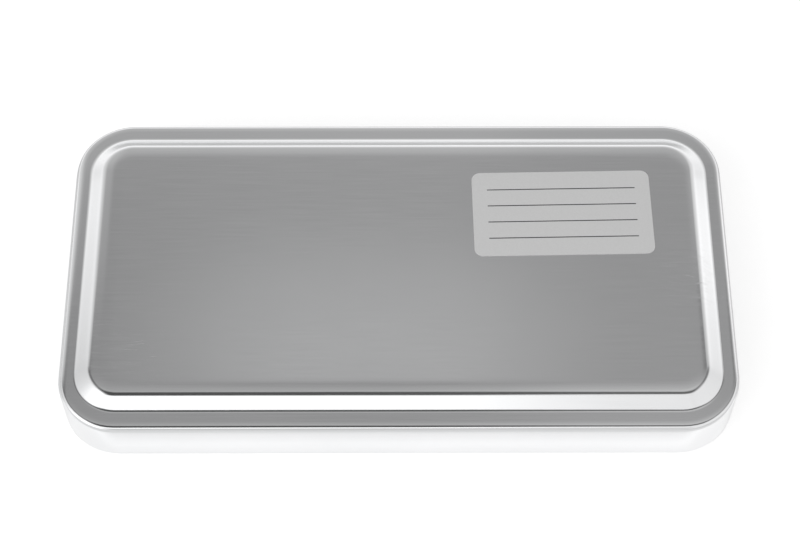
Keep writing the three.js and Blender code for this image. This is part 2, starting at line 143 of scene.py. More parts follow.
# Low in the back the outer strips take light from the side walls: much of it close to the walls,
# and a little further in, only in the lowest part.
side_light = tones(tent, across, {-0.9: 0.5, -0.65: 0.5, -0.55: 0.42, -0.45: 0.3, -0.36: 0.12, -0.3: 0,
                                  0.33: 0, 0.38: 0.15, 0.45: 0.45, 0.55: 0.6, 0.9: 0.7})
at_back = tones(tent, back, {-1: 0, 0.36: 0, 0.47: 1, 1: 1})
side_lit = add(tent, "ShaderNodeMath", {0: side_light, 1: at_back}, operation="MULTIPLY")
inner_light = tones(tent, across, {-0.42: 0, -0.34: 0.12, -0.23: 0.15, -0.18: 0, 0.22: 0, 0.27: 0.05,
                                   0.34: 0.16, 0.42: 0})
far_back = tones(tent, back, {-1: 0, 0.472: 0, 0.488: 1, 1: 1})
side_lit = add(tent, "ShaderNodeMath", {0: inner_light, 1: far_back, 2: side_lit.outputs[0]},
               operation="MULTIPLY_ADD")
strips = add(tent, "ShaderNodeMix", {0: side_lit.outputs[0], 2: strips.outputs[0], 3: 1.0},
             data_type="FLOAT")

# Between strips and walls stands a dim gap, deepest towards the sides. Low in the back it ends, and
# a narrow dark line further in takes its place.
gap = tones(tent, across, {-0.8: 0, -0.66: 0.4, -0.48: 0.34, -0.36: 0, 0.36: 0, 0.48: 0.34, 0.66: 0.4,
                           0.8: 0})
gap_depth = tones(tent, back, {-1: 0.4, -0.5: 0.4, -0.3: 1.8, 0.2: 1.8, 0.36: 1.2, 0.44: 0, 1: 0})
dark_line = tones(tent, across, {-0.6: 0, -0.5: 0.35, -0.38: 0.35, -0.3: 0, 0.27: 0, 0.31: 0.4, 0.36: 0.4,
                                 0.41: 0})
line_depth = tones(tent, back, {-1: 0, 0.36: 0, 0.42: 1, 0.465: 1, 0.48: 0, 1: 0})
line_share = add(tent, "ShaderNodeMath", {0: dark_line, 1: line_depth}, operation="MULTIPLY")
hidden = add(tent, "ShaderNodeMath", {0: gap, 1: gap_depth, 2: line_share.outputs[0]},
             operation="MULTIPLY_ADD")
strips = add(tent, "ShaderNodeMix", {0: hidden.outputs[0], 2: strips.outputs[0], 3: 0.0},
             data_type="FLOAT")

# Tones of the two walls by place from front, -1, to back, 1. They reach further in at the front than
# at the back, and fade towards the floor.
WALL_LEFT = {-1: 1.4, -0.3: 1.35, -0.15: 1.1, 0.0: 0.9, 0.2: 0.8, 0.41: 0.76, 0.43: 0.78, 0.455: 0.9,
             0.47: 1.02, 0.49: 0.98, 0.50: 1.1, 0.51: 1.32, 0.525: 0.98, 0.58: 1.1, 1: 1.3}
WALL_RIGHT = {-1: 0.92, -0.3: 0.92, 0.1: 0.88, 0.3: 0.86, 0.41: 0.93, 0.455: 1.06, 0.47: 1.18, 0.49: 1.28,
              0.51: 1.3, 0.525: 0.95, 0.58: 1.2, 1: 1.4}
REACH_SLOPE, REACH_START = -0.3, 0.15

off_middle = add(tent, "ShaderNodeMath", {0: across}, operation="ABSOLUTE")
reach_in = add(tent, "ShaderNodeMath", {0: back, 1: REACH_SLOPE, 2: REACH_START}, operation="MULTIPLY_ADD")
wall_reach = add(tent, "ShaderNodeMath", {0: off_middle.outputs[0], 1: reach_in.outputs[0]},
                 operation="ADD")
to_side = tones(tent, wall_reach.outputs[0], {0: 0, 0.64: 0, 0.72: 0.3, 0.84: 1, 1.6: 1})
to_right = tones(tent, across, {-0.5: 0, 0.5: 1})
walls = add(tent, "ShaderNodeMix", {0: to_right, 2: tones(tent, back, WALL_LEFT),
                                    3: tones(tent, back, WALL_RIGHT)}, data_type="FLOAT")
low_down = tones(tent, up, {-1: 0.5, -0.04: 0.55, 0.09: 0.78, 0.17: 1, 1: 1})
walls = add(tent, "ShaderNodeMath", {0: walls.outputs[0], 1: low_down}, operation="MULTIPLY")
tent_grey = add(tent, "ShaderNodeMix", {0: to_side, 2: strips.outputs[0], 3: walls.outputs[0]},
                data_type="FLOAT")
seen = add(tent, "ShaderNodeLightPath").outputs["Is Camera Ray"]
level = add(tent, "ShaderNodeMix", {0: seen, 2: tent_grey.outputs[0], 3: 1.0}, data_type="FLOAT")
glow = add(tent, "ShaderNodeBackground", {"Color": (1, 1, 1, 1), "Strength": level.outputs[0]})
add(tent, "ShaderNodeOutputWorld", {"Surface": glow.outputs[0]})

# The paper shows white to the eye. In the steel it is white just in front of the box, and fades
# behind it and beside it: these are shares of its glow by place from front to back, in mm.
FLOOR_GLOW = 0.68
GLOW_IN_STEEL = {-300: 0.40, -150: 0.50, -80: 0.60, -62.3: 0.62, -60: 1.1, -57.5: 1.1, -55: 0.95, -40: 0.9,
                 -20: 0.45, 20: 0.5, 90: 0.35, 120: 0.2, 190: 0.2, 210: 0.6, 250: 1.0, 420: 1.1}

floor_paper = bpy.data.materials.new("matt white paper floor")
floor_paper.use_nodes = True
sweep = floor_paper.node_tree
sweep.nodes.clear()
paths = add(sweep, "ShaderNodeLightPath")
spot = add(sweep, "ShaderNodeTexCoord").outputs["Object"]
spot_axes = add(sweep, "ShaderNodeSeparateXYZ", {"Vector": spot})
fade = tones(sweep, spot_axes.outputs["Y"], {place * MM: share for place, share in GLOW_IN_STEEL.items()})
in_steel = add(sweep, "ShaderNodeMath", {0: paths.outputs["Is Glossy Ray"], 1: fade},
               operation="MULTIPLY")
shown = add(sweep, "ShaderNodeMath", {0: paths.outputs["Is Camera Ray"], 1: in_steel.outputs[0]},
            operation="ADD")
shown = add(sweep, "ShaderNodeMath",
            {0: shown.outputs[0], 1: paths.outputs["Is Transmission Ray"]}, operation="ADD")
matt = add(sweep, "ShaderNodeBsdfDiffuse", {"Color": linear(0xBBBBBB)})
fill = add(sweep, "ShaderNodeEmission", {"Color": (FLOOR_GLOW, FLOOR_GLOW, FLOOR_GLOW, 1),
                                         "Strength": shown.outputs[0]})
both = add(sweep, "ShaderNodeAddShader", {0: matt.outputs[0], 1: fill.outputs[0]})
add(sweep, "ShaderNodeOutputMaterial", {"Surface": both.outputs[0]})

FLOOR_HALF = 4000
floor_mesh = bpy.data.meshes.new("floor")
floor_mesh.from_pydata([(x * FLOOR_HALF * MM, y * FLOOR_HALF * MM, 0)
                        for x, y in ((-1, -1), (1, -1), (1, 1), (-1, 1))], [], [(0, 1, 2, 3)])
floor = bpy.data.objects.new("floor", floor_mesh)
floor.data.materials.append(floor_paper)
bpy.context.scene.collection.objects.link(floor)

# One broad soft box from the front left gives paper and silicone their shading.
SOFT_BOX_PLACE = Vector((-500, -700, 900))
SOFT_BOX_SIZE, SOFT_BOX_POWER = 800, 5

soft_box = bpy.data.objects.new("soft_box", bpy.data.lights.new("soft_box", "AREA"))
soft_box.data.size = SOFT_BOX_SIZE * MM
soft_box.data.energy = SOFT_BOX_POWER
soft_box.matrix_world = (Matrix.Translation(SOFT_BOX_PLACE * MM)
                         @ (-SOFT_BOX_PLACE).to_track_quat("-Z", "Y").to_matrix().to_4x4())
soft_box.visible_glossy = False
bpy.context.scene.collection.objects.link(soft_box)


# Tray
# One sheet of 0.8 mm stainless steel, deep drawn, with its rim rolled outwards into a bead. The
# press leaves it satin, with faint grinding marks that run the length of the box.
CLOUD_WIDTH = 60
GRAIN_SHARE, GRAIN_STRENGTH = 0.16, 0.35
GLOSSIEST, DULLEST = 0.8, 1.25


def steel(name, light, dark, roughness, grain_width, grain_length, grain_depth, along="X"):
    """Stainless steel: two greys in soft clouds, and a brushed grain that runs along one axis.

    Grain sizes are in mm. The grain is drawn wider than real grit marks of about 0.02 mm, which
    would not show.
    """
    material = bpy.data.materials.new(name)
    material.use_nodes = True
    tree = material.node_tree
    shader = tree.nodes["Principled BSDF"]
    where = add(tree, "ShaderNodeTexCoord").outputs["Object"]
    clouds = add(tree, "ShaderNodeTexNoise", {"Vector": where, "Scale": 1 / (CLOUD_WIDTH * MM),
                                               "Detail": 3.0})
    across_grain, with_grain = 1 / (grain_width * MM), 1 / (grain_length * MM)
    stretch = {"X": (with_grain, across_grain, across_grain),
               "Y": (across_grain, with_grain, across_grain),
               "Z": (across_grain, across_grain, with_grain)}[along]
    brushed = add(tree, "ShaderNodeMapping", {"Vector": where, "Scale": stretch})
    grain = add(tree, "ShaderNodeTexNoise", {"Vector": brushed.outputs[0], "Scale": 1.0, "Detail": 4.0})
    tone = add(tree, "ShaderNodeMix", {0: clouds.outputs[0], 6: linear(dark), 7: linear(light)},
               data_type="RGBA")
    lined = add(tree, "ShaderNodeMix", {0: GRAIN_SHARE, 6: tone.outputs[2], 7: grain.outputs[0]},
                data_type="RGBA", blend_type="OVERLAY")
    tree.links.new(lined.outputs[2], shader.inputs["Base Color"])
    gloss = add(tree, "ShaderNodeMapRange", {"Value": grain.outputs[0], 1: 0.3, 2: 0.7,
                                             3: roughness * GLOSSIEST, 4: roughness * DULLEST})
    tree.links.new(gloss.outputs[0], shader.inputs["Roughness"])
    marks = add(tree, "ShaderNodeBump", {"Height": grain.outputs[0], "Distance": grain_depth * MM,
                                         "Strength": GRAIN_STRENGTH})
    tree.links.new(marks.outputs[0], shader.inputs["Normal"])
    shader.inputs["Metallic"].default_value = 1.0
    return material


drawn_steel = steel("satin drawn stainless steel", 0xF2F2F3, 0xE6E7E8, 0.15, 0.35, 14, 0.004)

SHEET = 0.8
BEND_STEP = 3
EDGE_STEPS = 6


def walk(level, moves):
    """A section walked outwards from (0, level); rows are (u, z, heading).

    A run goes straight ahead by its length. A bend swings a radius about a centre square to the
    heading, on the left for a turn upwards and on the right for a turn downwards, and has a point
    every BEND_STEP degrees."""
    at = np.array([[0.0, level, 0.0]])
    for kind, size, turn in moves:
        u, z, heading = at[-1]
        if kind == "run":
            share = np.linspace(0, 1, turn + 1)[1:, None]
            at = np.concatenate([at, at[-1:] + size * share * [[math.cos(heading), math.sin(heading), 0]]])
            continue
        side = math.copysign(1, turn)
        steps = max(3, math.ceil(abs(turn) / BEND_STEP))
        swung = heading + np.radians(np.linspace(0, turn, steps + 1)[1:])
        bend = np.stack([u + side * size * (np.sin(swung) - math.sin(heading)),
                         z - side * size * (np.cos(swung) - math.cos(heading)), swung], axis=1)
        at = np.concatenate([at, bend])
    return at


def two_faces(path, above):
    """Both faces of the sheet as one line: each point is set off at a right angle to its heading,
    by what lies above the walked line and by what lies below, and a half circle closes the edge."""
    right_angle = np.stack([-np.sin(path[:, 2]), np.cos(path[:, 2])], axis=1)
    upper = path[:, :2] + above * right_angle
    lower = path[:, :2] + (above - SHEET) * right_angle
    swing = path[-1, 2] + np.pi / 2 - np.pi * np.linspace(0, 1, EDGE_STEPS + 1)[1:-1, None]
    nose = (upper[-1] + lower[-1]) / 2 + SHEET / 2 * np.concatenate([np.cos(swing), np.sin(swing)], axis=1)
    return np.concatenate([upper, nose, lower[::-1]])


ARC_STEPS, LONG_STEPS, SHORT_STEPS = 14, 40, 20
END_EASE = 5.0


def carry_round(line, length, width, corner, follow=1.0, end_out=0.0):
    """A section carried round a rounded rectangle, as arrays of x, y and z.

    A point drawn in by an inset lies on a rectangle whose corner radius r is less by a share of
    that inset, follow: x = sx (length / 2 - inset + e - r) + r cos a, and y alike with sin a but
    without e. The ends move out by e, which grows to end_out over the outer END_EASE. The angle a
    turns only in the corners, and the signs sx and sy pass from 1 to -1 only along the straights."""
    quarter = np.linspace(0, np.pi / 2, ARC_STEPS + 1)
    long_side = np.linspace(1, -1, LONG_STEPS + 1)[1:-1]
    short_side = np.linspace(1, -1, SHORT_STEPS + 1)[1:-1]
    corner_ones, long_ones, short_ones = [np.ones(len(part)) for part in (quarter, long_side, short_side)]
    sx = np.concatenate([corner_ones, long_side, -corner_ones, -short_ones,
                         -corner_ones, -long_side, corner_ones, short_ones])
    sy = np.concatenate([corner_ones, long_ones, corner_ones, short_side,
                         -corner_ones, -long_ones, -corner_ones, -short_side])
    a = np.concatenate([quarter, long_ones * np.pi / 2, quarter + np.pi / 2, short_ones * np.pi,
                        quarter + np.pi, long_ones * 1.5 * np.pi, quarter + 1.5 * np.pi,
                        short_ones * 2 * np.pi])
    inset = (line[:, 0].max() - line[:, 0])[:, None]
    r = np.maximum(corner - follow * inset, SHEET)
    moved_out = end_out * np.minimum(inset / END_EASE, 1)
    return (sx * (length / 2 - inset + moved_out - r) + r * np.cos(a),
            sy * (width / 2 - inset - r) + r * np.sin(a), np.repeat(line[:, 1:2], len(a), axis=1))


def close_middle(x, y, z, rings=16):
    """Rings that shrink in even steps to the middle of both faces, added before and after."""
    share = np.linspace(0, 1, rings + 1)[:-1, None]
    x = np.concatenate([share * x[:1], x, share[::-1] * x[-1:]])
    y = np.concatenate([share * y[:1], y, share[::-1] * y[-1:]])
    z = np.concatenate([np.repeat(z[:1], rings, axis=0), z, np.repeat(z[-1:], rings, axis=0)])
    return x, y, z


def piece_of(name, points, faces, material):
    """An object at the origin from points in mm: doubles merged, normals outwards, smooth."""
    mesh = bpy.data.meshes.new(name)
    mesh.from_pydata((np.asarray(points) * MM).tolist(), [], faces)
    clean = bmesh.new()
    clean.from_mesh(mesh)
    bmesh.ops.remove_doubles(clean, verts=clean.verts, dist=1e-8)
    bmesh.ops.dissolve_degenerate(clean, edges=clean.edges, dist=1e-9)
    bmesh.ops.recalc_face_normals(clean, faces=clean.faces)
    clean.to_mesh(mesh)
    clean.free()
    mesh.shade_smooth()
    made = bpy.data.objects.new(name, mesh)
    made.data.materials.append(material)
    bpy.context.scene.collection.objects.link(made)
    return made


def skin(name, x, y, z, material, ends="poles"):
    """A surface over arrays of x, y and z in mm, joined round its columns. Its first and last rows
    close in poles, in flat caps, or on each other as a ring."""
    rows, columns = x.shape
    points = np.stack([x, y, z], axis=2).reshape(-1, 3)
    row, column = np.meshgrid(np.arange(rows if ends == "ring" else rows - 1), np.arange(columns),
                              indexing="ij")
    next_row, next_column = (row + 1) % rows, (column + 1) % columns
    faces = np.stack([row * columns + column, next_row * columns + column,
                      next_row * columns + next_column, row * columns + next_column], axis=2)
    faces = faces.reshape(-1, 4).tolist()
    if ends == "caps":
        faces += [list(range(columns)), list(range((rows - 1) * columns, rows * columns))]
    return piece_of(name, points, faces, material)


def dress(piece, body, slot, *replaced):
    """Lets a piece ride on a body and stand for its CAD nodes, which it hides. The slot is not used."""
    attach(piece, body)
    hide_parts(*replaced)


def drop(radius, start, end):
    """How far a bend of a radius falls while its slope turns from start to end, in degrees."""
    return radius * (math.cos(math.radians(start)) - math.cos(math.radians(end)))


def rise_run(height, slope):
    """How long a straight run at a slope in degrees is that rises or falls by a height."""
    return height / math.sin(math.radians(slope))


BOX_LENGTH, BOX_WIDTH, BOX_HEIGHT, PLAN_CORNER = 190.0, 100.0, 30.0, 16.8
FLOOR_STEP, FLOOR_STEP_TURN, FLOOR_RISE, STANDING_RING = 0.6, 40, 1.0, 4.0
FLOOR_BEND, WALL_TURN = 5.8, 88.5
CURL, CURL_TURN = 0.6, 250

tray_low, tray_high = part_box("base_tray")
tray_length, tray_width, bead_top = [v / MM for v in (tray_high[0] - tray_low[0],
                                                      tray_high[1] - tray_low[1], tray_high[2])]
wall_height = (bead_top - CURL - SHEET + CURL * math.cos(math.radians(WALL_TURN))
               - drop(FLOOR_BEND, 0, WALL_TURN))
tray_line = two_faces(walk(FLOOR_RISE, [
    ("bend", FLOOR_STEP, -FLOOR_STEP_TURN),
    ("run", rise_run(FLOOR_RISE - drop(2 * FLOOR_STEP + SHEET, 0, FLOOR_STEP_TURN), FLOOR_STEP_TURN), 2),
    ("bend", FLOOR_STEP + SHEET, FLOOR_STEP_TURN),
    ("run", STANDING_RING, 3),
    ("bend", FLOOR_BEND, WALL_TURN),
    ("run", rise_run(wall_height, WALL_TURN), 10),
    ("bend", CURL, -CURL_TURN)]), SHEET)
tray = skin("tray_sheet", *close_middle(*carry_round(
    tray_line, tray_length, tray_width, PLAN_CORNER - (BOX_LENGTH - tray_length) / 2)), drawn_steel)
dress(tray, "base", "drawn_steel", "base_tray")


# Rack plate
# A slotted plate of the same sheet, blanked and punched in one stroke, with its edge turned down so
# that it stands on the tray's floor and lets the water drain. It is brushed, which leaves it duller
# than the tray.
rack_steel = steel("brushed stainless rack sheet", 0xE9EAEB, 0xDCDDDE, 0.25, 0.22, 12, 0.004)


def arc(x, y, radius, start, end, step=7.5):
    """Points of an arc about (x, y), from a start angle to an end angle in degrees."""
    angle = np.radians(np.linspace(start, end, max(2, round(abs(end - start) / step) + 1)))
    return np.stack([x + radius * np.cos(angle), y + radius * np.sin(angle)], axis=1)


def rounded(length, width, corner, x=0, y=0):
    """The outline of a rectangle with rounded corners: four arcs, which straight sides join."""
    right, top = length / 2 - corner, width / 2 - corner
    return np.concatenate([arc(x + right, y + top, corner, 0, 90), arc(x - right, y + top, corner, 90, 180),
                           arc(x - right, y - top, corner, 180, 270),
                           arc(x + right, y - top, corner, 270, 360)])


def prism(name, outline, low, high, axis, material, places=((0, 0),)):
    """An outline drawn square to an axis and run along it from low to high, once for each place."""
    outline, places = np.asarray(outline), np.asarray(places)
    count = len(outline)
    drawn = np.repeat((outline[None] + places[:, None])[:, None], 2, axis=1)
    level = np.broadcast_to(np.array([low, high])[None, :, None, None], drawn.shape[:3] + (1,))
    order = {"X": [2, 0, 1], "Y": [0, 2, 1], "Z": [0, 1, 2]}[axis]
    points = np.concatenate([drawn, level], axis=3)[..., order].reshape(-1, 3)
    start = np.arange(len(places))[:, None] * 2 * count
    here = np.arange(count)[None]
    after = (here + 1) % count
    walls = np.stack([start + here, start + after, start + count + after, start + count + here], axis=2)
    lids = np.concatenate([start + here, start + count + here])
    return piece_of(name, points, walls.reshape(-1, 4).tolist() + lids.tolist(), material)


def carve(piece, tool, operation):
    """Cuts, joins or trims a closed piece with another one, which is used up."""
    change = piece.modifiers.new("carving", "BOOLEAN")
    change.operation = operation
    change.solver = "EXACT"
    change.object = tool
    carved = bpy.data.meshes.new_from_object(
        piece.evaluated_get(bpy.context.evaluated_depsgraph_get()))
    piece.modifiers.clear()
    old = piece.data
    piece.data = carved
    carved.name = piece.name
    clean = bmesh.new()
    clean.from_mesh(carved)
    bmesh.ops.remove_doubles(clean, verts=clean.verts, dist=1e-6)
    clean.to_mesh(carved)
    clean.free()
    carved.shade_smooth()
    bpy.data.meshes.remove(old)
    bpy.data.objects.remove(tool)


PUNCH_PAST, HOLE_STEP = 1, 15
SHARP_FROM = 38


def drill(piece, radius, low, high, axis, places):
    """Punches round holes through a piece along an axis, from below low to above high."""
    carve(piece, prism("holes", arc(0, 0, radius, 0, 360 - HOLE_STEP, HOLE_STEP), low - PUNCH_PAST,
                       high + PUNCH_PAST, axis, piece.data.materials[0], places), "DIFFERENCE")


def soften(piece, width, segments=2):
    """Rounds sharp edges by a width in mm, and gives the flats beside them flat shading."""
    edges = piece.modifiers.new("softened edges", "BEVEL")
    edges.width = width * MM
    edges.segments = segments
    edges.limit_method = "ANGLE"
    edges.angle_limit = math.radians(SHARP_FROM)
    flats = piece.modifiers.new("flat shading", "WEIGHTED_NORMAL")
    flats.keep_sharp = True


RACK_TOP, RACK_EDGE_BEND, RACK_FOOT = 3.8, 1.6, 1.1
SLOT_LENGTH, SLOT_WIDTH, SLOT_PITCH_X, SLOT_PITCH_Y = 8.0, 3.2, 12.0, 8.2
SLOT_ROWS, SLOT_COLUMNS = 9, 7
END_BAY_X = 65.29
STATION_X = 52.0
RIVET_HOLE = 1.4
COMB_RIVET_Y, HANDLE_RIVET_X, HANDLE_RIVET_Y = 26.31, 77.67, 10.0

rack_low, rack_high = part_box("rack_plate")
rack_length, rack_width = [v / MM for v in (rack_high[0] - rack_low[0], rack_high[1] - rack_low[1])]
rack_line = two_faces(walk(RACK_TOP, [
    ("bend", RACK_EDGE_BEND, -90),
    ("run", RACK_TOP - RACK_FOOT - RACK_EDGE_BEND - SHEET / 2, 2)]), 0)
rack_plate = skin("rack_sheet", *carry_round(
    rack_line, rack_length, rack_width, PLAN_CORNER - (BOX_LENGTH - rack_length) / 2),
    rack_steel, ends="caps")
rows = [(row - (SLOT_ROWS - 1) / 2) * SLOT_PITCH_Y for row in range(SLOT_ROWS)]
columns = [(column - (SLOT_COLUMNS - 1) / 2) * SLOT_PITCH_X for column in range(SLOT_COLUMNS)]
columns += [-END_BAY_X, END_BAY_X]
carve(rack_plate, prism("slots", rounded(SLOT_LENGTH, SLOT_WIDTH, SLOT_WIDTH / 2),
                        RACK_TOP - SHEET - PUNCH_PAST, RACK_TOP + PUNCH_PAST, "Z", rack_steel,
                        [(x, y) for x in columns for y in rows]), "DIFFERENCE")
rivet_places = [(sx * x, sy * y) for x, y in ((STATION_X, COMB_RIVET_Y), (HANDLE_RIVET_X, HANDLE_RIVET_Y))
                for sx in (-1, 1) for sy in (-1, 1)]
drill(rack_plate, RIVET_HOLE, RACK_TOP - SHEET, RACK_TOP, "Z", rivet_places)
soften(rack_plate, 0.14)
dress(rack_plate, "rack", "brushed_steel", "rack_plate")


# Comb channels
# Each is a strip folded to a U that holds a comb, with its ends folded up as ears for the bail and
# a lip folded out of each ear for the bail's arm to rest on. The strip is brushed along its length.
channel_steel = steel("brushed stainless channel sheet", 0xEAEBEC, 0xDADBDC, 0.22, 0.2, 10, 0.004, "Y")


def turned(piece, name):
    """A copy of a piece turned half round about the middle of the box: x and y change sign."""
    other = piece.copy()
    other.name = name
    other.data = piece.data.copy()
    other.data.transform(Matrix.Rotation(math.pi, 4, "Z"))
    bpy.context.scene.collection.objects.link(other)
    return other


CHANNEL_HALF, CHANNEL_UNDER, CHANNEL_TOP = 4.6, 3.9, 9.9
FOLD = 0.4
EAR_OUTER, EAR_ROUND, PIVOT_Z, PIVOT_HOLE = 39.17, 3.0, 20.6, 1.3
LIP_WIDTH, LIP_TOP, LIP_REACH = 2.4, 19.3, 42.47

fold_x, fold_z = CHANNEL_HALF - SHEET - FOLD, CHANNEL_UNDER + SHEET + FOLD
right_half = np.concatenate([
    arc(fold_x, fold_z, FOLD + SHEET, -90, 0),
    [(CHANNEL_HALF, CHANNEL_TOP), (CHANNEL_HALF - SHEET, CHANNEL_TOP)],
    arc(fold_x, fold_z, FOLD, 0, -90)])
trough = np.concatenate([right_half, right_half[::-1] * (-1, 1)])
ear = np.concatenate([arc(fold_x, fold_z, FOLD + SHEET, -90, 0), [(CHANNEL_HALF, CHANNEL_TOP)],
                      arc(0, PIVOT_Z, EAR_ROUND, 0, 180), [(-CHANNEL_HALF, CHANNEL_TOP)],
                      arc(-fold_x, fold_z, FOLD + SHEET, 180, 270)])
station = ((STATION_X, 0),)
# The trough ends inside the ears' sheet, so that the two join without faces in one plane.
trough_end = EAR_OUTER - SHEET / 2
channel = prism("right_channel", trough, -trough_end, trough_end, "Y", channel_steel, station)
for side in (-1, 1):
    inner, outer, lip = [side * v for v in (EAR_OUTER - SHEET, EAR_OUTER, LIP_REACH)]
    carve(channel, prism("ear", ear, min(inner, outer), max(inner, outer), "Y", channel_steel, station),
          "UNION")
    fold_out = rounded(LIP_WIDTH, SHEET, 0.15, -CHANNEL_HALF + LIP_WIDTH / 2, LIP_TOP - SHEET / 2)
    carve(channel, prism("lip", fold_out, min(inner, lip), max(inner, lip), "Y", channel_steel, station),
          "UNION")
drill(channel, PIVOT_HOLE, -EAR_OUTER, EAR_OUTER, "Y", [(STATION_X, PIVOT_Z)])
drill(channel, RIVET_HOLE, CHANNEL_UNDER, CHANNEL_UNDER + SHEET, "Z",
      [(STATION_X, y) for y in (-COMB_RIVET_Y, COMB_RIVET_Y)])
soften(channel, 0.14)
dress(channel, "rack", "brushed_steel", "right_comb_channel")
dress(turned(channel, "left_channel"), "rack", "brushed_steel", "left_comb_channel")


# Rivets
# Solid stainless rivets, set in a press: a round head above, a flatter one below. Two fix each
# channel to the plate and two fix each handle. Tumbling leaves them softly bright, with no grain.
rivet_steel = steel("tumbled stainless rivet", 0xF0F0F1, 0xDEDFE0, 0.20, 0.6, 0.6, 0.01)

RIVET_SHANK = 1.2
HEAD_FACE, HEAD_RADIUS, HEAD_HEIGHT = 4.8, 2.3, 0.9
TAIL_FACE, TAIL_RADIUS, TAIL_HEIGHT = 2.9, 2.0, 0.7
ROUND_SIDES = 32


def turned_form(profile, x=0.0, y=0.0, axis="Z"):
    """A profile of (radius, height) turned about an upright axis at (x, y), or about an axis along
    Y at (x, z): each point runs round a circle of its own radius."""
    angle = np.linspace(0, 2 * np.pi, ROUND_SIDES, endpoint=False)[None]
    radius, height = profile[:, :1], np.repeat(profile[:, 1:], ROUND_SIDES, axis=1)
    first, second = x + radius * np.cos(angle), y + radius * np.sin(angle)
    return (first, second, height) if axis == "Z" else (first, height, second)


dome = np.radians(np.linspace(0, 90, 9))
rivet_profile = np.concatenate([
    np.stack([TAIL_RADIUS * np.sin(dome), TAIL_FACE - TAIL_HEIGHT * np.cos(dome)], axis=1),
    [(RIVET_SHANK, TAIL_FACE), (RIVET_SHANK, HEAD_FACE)],
    np.stack([HEAD_RADIUS * np.sin(dome), HEAD_FACE + HEAD_HEIGHT * np.cos(dome)], axis=1)[::-1]])
for end, sign in (("right", 1), ("left", -1)):
    for place, side in (("front", -1), ("rear", 1)):
        for part, x, y in (("channel", STATION_X, COMB_RIVET_Y), ("handle", HANDLE_RIVET_X, HANDLE_RIVET_Y)):
            rivet = skin(f"{end}_{part}_{place}_stud", *turned_form(rivet_profile, sign * x, side * y),
                         rivet_steel)
            rivet.data.set_sharp_from_angle(angle=math.radians(50))
            dress(rivet, "rack", "rivet_steel", f"{end}_{part}_{place}_rivet")


# Combs
# Moulded silicone strips, one pushed into each channel, with seven round-bottomed notches. The
# mould leaves silicone matt and slightly soft looking, with rounded edges.
silicone = bpy.data.materials.new("matt moulded blue silicone")
silicone.use_nodes = True
rubber = silicone.node_tree
rubber_shader = rubber.nodes["Principled BSDF"]
rubber_where = add(rubber, "ShaderNodeTexCoord").outputs["Object"]
bloom = add(rubber, "ShaderNodeTexNoise", {"Vector": rubber_where, "Scale": 1 / (9 * MM), "Detail": 4.0})
blue = add(rubber, "ShaderNodeMix", {0: bloom.outputs[0], 6: linear(0x44759C), 7: linear(0x5A8DB3)},
           data_type="RGBA")
rubber.links.new(blue.outputs[2], rubber_shader.inputs["Base Color"])
# Spark marks of the mould are about 0.05 mm across, and are drawn at 0.2 mm so that they show.
spark = add(rubber, "ShaderNodeTexNoise", {"Vector": rubber_where, "Scale": 1 / (0.2 * MM), "Detail": 2.0})
matt_skin = add(rubber, "ShaderNodeMapRange", {"Value": bloom.outputs[0], 1: 0.3, 2: 0.7, 3: 0.46, 4: 0.6})
rubber.links.new(matt_skin.outputs[0], rubber_shader.inputs["Roughness"])
rubber_bump = add(rubber, "ShaderNodeBump", {"Height": spark.outputs[0], "Distance": 0.01 * MM,
                                             "Strength": 0.5})
rubber.links.new(rubber_bump.outputs[0], rubber_shader.inputs["Normal"])
rubber_shader.inputs["IOR"].default_value = 1.41
rubber_shader.inputs["Subsurface Weight"].default_value = 0.12
rubber_shader.inputs["Subsurface Radius"].default_value = (0.6 * MM, 0.8 * MM, 1.0 * MM)
rubber_shader.inputs["Subsurface Scale"].default_value = 1.0

COMB_HALF_LENGTH, COMB_HALF_THICKNESS, COMB_UNDER, COMB_TOP = 38.07, 3.5, 4.8, 18.3
NOTCHES, NOTCH_PITCH, NOTCH_ROUND, NOTCH_CENTRE, NOTCH_FLARE = 7, 10.525, 3.5, 14.0, 0.8
POCKET, POCKET_TOP = 2.6, 6.0

notch = np.concatenate([[(NOTCH_ROUND + NOTCH_FLARE, COMB_TOP), (NOTCH_ROUND, COMB_TOP - NOTCH_FLARE)],
                        arc(0, NOTCH_CENTRE, NOTCH_ROUND, 0, -180),
                        [(-NOTCH_ROUND, COMB_TOP - NOTCH_FLARE), (-NOTCH_ROUND - NOTCH_FLARE, COMB_TOP)]])
notch_y = (np.arange(NOTCHES)[::-1] - (NOTCHES - 1) / 2) * NOTCH_PITCH
notches = (notch[None] + np.stack([notch_y, 0 * notch_y], axis=1)[:, None]).reshape(-1, 2)
comb_outline = np.concatenate([[(-COMB_HALF_LENGTH, COMB_UNDER), (COMB_HALF_LENGTH, COMB_UNDER),
                                (COMB_HALF_LENGTH, COMB_TOP)], notches, [(-COMB_HALF_LENGTH, COMB_TOP)]])
comb = prism("right_silicone_comb", comb_outline, STATION_X - COMB_HALF_THICKNESS,
             STATION_X + COMB_HALF_THICKNESS, "X", silicone)
carve(comb, prism("pockets", arc(0, 0, POCKET, 0, 360 - HOLE_STEP, HOLE_STEP), COMB_UNDER - PUNCH_PAST,
                  POCKET_TOP, "Z", silicone, [(STATION_X, y) for y in (-COMB_RIVET_Y, COMB_RIVET_Y)]),
      "DIFFERENCE")
soften(comb, 0.35, 3)
dress(comb, "rack", "silicone", "right_comb")
dress(turned(comb, "left_silicone_comb"), "rack", "silicone", "left_comb")


# Handles
# Bent strips with a slot for a fingertip, riveted to the plate's ends. The grain runs up the strip,
# because they are cut across the sheet.
handle_steel = steel("brushed stainless handle strip", 0xEBECED, 0xDBDCDD, 0.2, 0.22, 8, 0.006, "Y")

